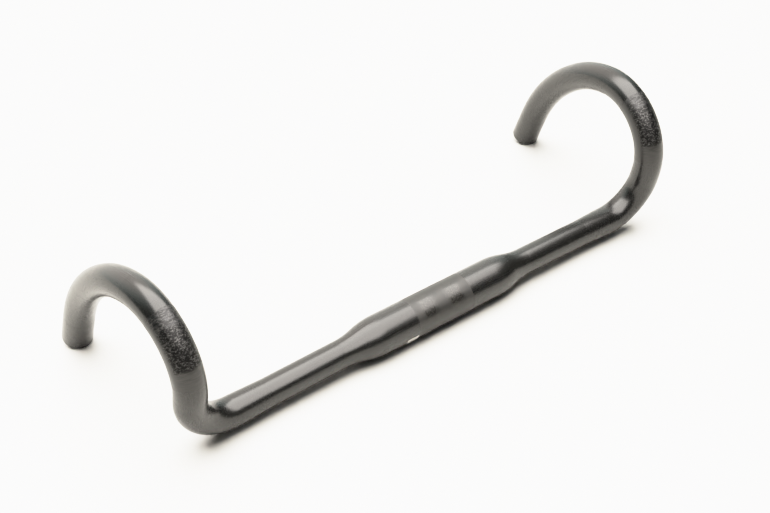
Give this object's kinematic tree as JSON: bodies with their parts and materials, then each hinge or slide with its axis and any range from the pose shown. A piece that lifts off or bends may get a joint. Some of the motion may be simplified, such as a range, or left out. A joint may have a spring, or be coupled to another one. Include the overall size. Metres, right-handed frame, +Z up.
{
  "type": "drop handlebar",
  "caption": "Bare carbon drop handlebar with a fat clamp zone, tapered tops, tight corner bends and compact flared hooks that end in open tubes.",
  "frame": {"origin": "centre of the clamp zone, on the bar's axis", "axes": "+X along the bar to the rider's right, +Y down towards the drop ends as ridden, +Z forward, the way the hooks reach; as it lies on a table +Z is up"},
  "size_m": [0.4828, 0.1801, 0.1254],
  "materials": {
    "carbon": "satin clear coat over carbon laminate",
    "raw_carbon": "bare laminate",
    "friction_coat": "rough",
    "mark": "printed"
  },
  "bodies": {
    "root": {"tops": "carbon", "left_drop": "carbon", "right_drop": "carbon", "left_joint_sleeve": "raw_carbon", "right_joint_sleeve": "raw_carbon", "clamp_core": "raw_carbon", "clamp_coat": "friction_coat", "left_lever_coat": "friction_coat", "right_lever_coat": "friction_coat", "setting_mark": "mark"}
  },
  "joints": []
}
